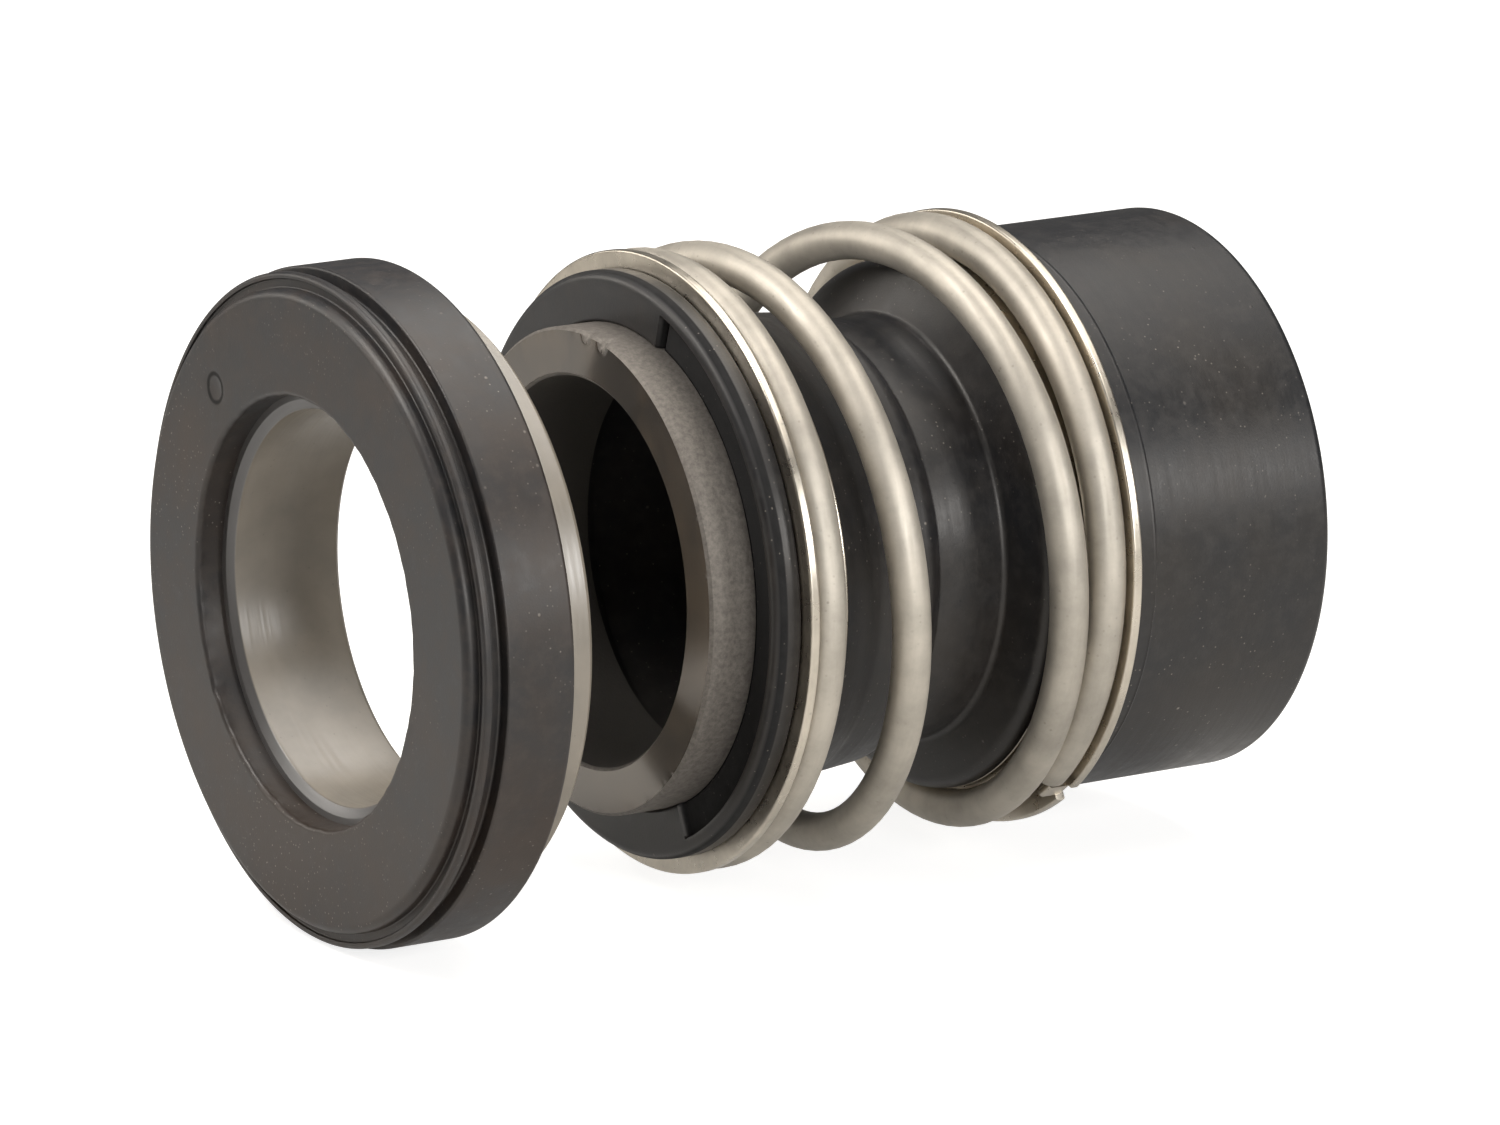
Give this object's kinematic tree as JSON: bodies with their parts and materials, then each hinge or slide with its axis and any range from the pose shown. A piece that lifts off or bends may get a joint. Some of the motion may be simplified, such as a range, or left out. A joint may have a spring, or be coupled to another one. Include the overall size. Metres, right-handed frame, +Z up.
{
  "type": "component mechanical seal",
  "caption": "Pump shaft seal: a seat ring in a rubber cup faces a spring-loaded rotating unit, whose lapped ring is carried by a rubber bellows inside a coil spring.",
  "frame": {"origin": "on the shaft axis, at the middle of the seat cup's press band", "axes": "+X along the shaft axis from the seat to the rotating unit's tail; +Z up, the shaft being level"},
  "size_m": [0.0603, 0.0398, 0.0398],
  "materials": {
    "seat_rubber": "matt moulded black rubber",
    "bellows_rubber": "satin moulded black rubber",
    "seat_face": "fine ground",
    "lapped_face": "lapped face, fine grained sides",
    "sheet_steel": "pressed stainless sheet",
    "spring_steel": "drawn stainless wire"
  },
  "bodies": {
    "seat": {"seat_cup": "seat_rubber", "seat_ring": "seat_face"},
    "drive_ring": {"rear_angle_ring": "sheet_steel"},
    "tail": {"bellows": "bellows_rubber", "spring": "spring_steel"},
    "head": {"face_ring": "lapped_face", "front_angle_ring": "sheet_steel"}
  },
  "joints": [
    {"name": "approach", "type": "slide", "parent": "seat", "child": "drive_ring", "axis": [-1, 0, 0], "range_m": [0, 0.0096]},
    {"name": "spin", "type": "hinge", "parent": "drive_ring", "child": "tail", "pos_m": [0.0416, 0, 0], "axis": [1, 0, 0], "continuous": true},
    {"name": "compress", "type": "slide", "parent": "tail", "child": "head", "axis": [1, 0, 0], "range_m": [0, 0.004], "stiffness_N_per_m": 3200, "deforming": ["spring", "bellows"]}
  ]
}
